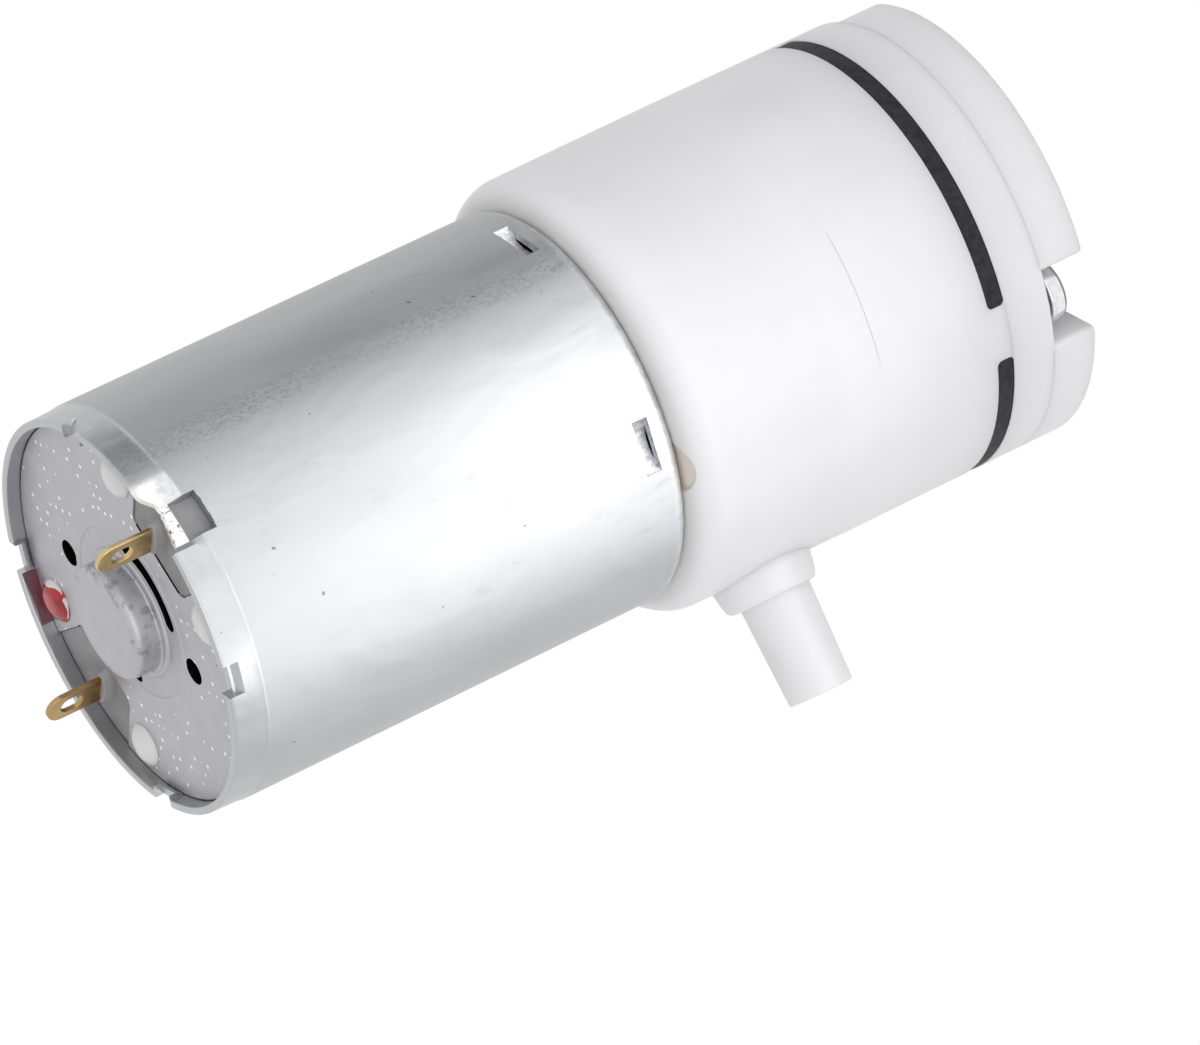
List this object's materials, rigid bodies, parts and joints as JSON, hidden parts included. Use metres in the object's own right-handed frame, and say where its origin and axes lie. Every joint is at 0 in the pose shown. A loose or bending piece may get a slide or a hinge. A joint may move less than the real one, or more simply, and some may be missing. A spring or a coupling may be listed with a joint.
{
  "type": "mini air pump",
  "caption": "Small round diaphragm air pump: a white wobble-drive pump head with a side hose nozzle on a brushed DC motor with brass solder terminals.",
  "frame": {"origin": "centre of the flat outer face of the end cover", "axes": "+Z along the motor's axis from the end cover to the terminals, +X along the inlet nozzle"},
  "size_m": [0.0349, 0.0272, 0.0613],
  "materials": {
    "white_plastic": "satin moulded",
    "diaphragm_rubber": "matt moulded",
    "valve_rubber": "matt moulded",
    "screw_steel": "bright nickel plated",
    "can_steel": "zinc plated, drawn",
    "plate_steel": "zinc plated, dull",
    "nylon": "satin moulded",
    "terminal_brass": "stamped",
    "spring_copper": "rolled",
    "carbon": "pressed",
    "sintered_bronze": "sintered",
    "ferrite": "pressed",
    "shaft_steel": "ground",
    "lamination_steel": "punched stack",
    "winding_copper": "enamelled wire",
    "commutator_resin": "moulded",
    "drive_plastic": "satin moulded"
  },
  "bodies": {
    "housing": {"end_cover": "white_plastic", "valve_plate": "white_plastic", "diaphragm": "diaphragm_rubber", "diaphragm_seat": "white_plastic", "crankcase": "white_plastic", "head_screws": "screw_steel", "inlet_valve_1": "valve_rubber", "inlet_valve_2": "valve_rubber", "inlet_valve_3": "valve_rubber", "outlet_valve": "valve_rubber", "motor_screws": "screw_steel", "motor_can": "can_steel", "motor_end_plate": "plate_steel", "brush_holder": "nylon", "terminal_pos": "terminal_brass", "terminal_neg": "terminal_brass", "brush_arm_pos": "spring_copper", "brush_arm_neg": "spring_copper", "carbon_brush_pos": "carbon", "carbon_brush_neg": "carbon", "front_bearing": "sintered_bronze", "rear_bearing": "sintered_bronze", "magnet_left": "ferrite", "magnet_right": "ferrite", "magnet_clips": "shaft_steel"},
    "rotor": {"crank_pin": "shaft_steel", "eccentric_wheel": "drive_plastic", "rotor_shaft": "shaft_steel", "rotor_core": "lamination_steel", "winding_1": "winding_copper", "winding_2": "winding_copper", "winding_3": "winding_copper", "commutator_hub": "commutator_resin", "commutator_bars": "winding_copper", "shaft_spacers": "drive_plastic"},
    "swing_bracket": {"swing_bracket": "drive_plastic"}
  },
  "joints": [
    {"name": "shaft_spin", "type": "hinge", "parent": "housing", "child": "rotor", "pos_m": [0, 0, 0.0384], "axis": [0, 0, 1], "continuous": true},
    {"name": "bracket_wobble", "type": "hinge", "parent": "rotor", "child": "swing_bracket", "pos_m": [0, 0, 0.0096], "axis": [0.2079, 0, 0.9781], "continuous": true, "deforming": ["diaphragm"]}
  ],
  "couplings": [
    {"joint": "bracket_wobble", "follows": "shaft_spin", "ratio": -1}
  ]
}
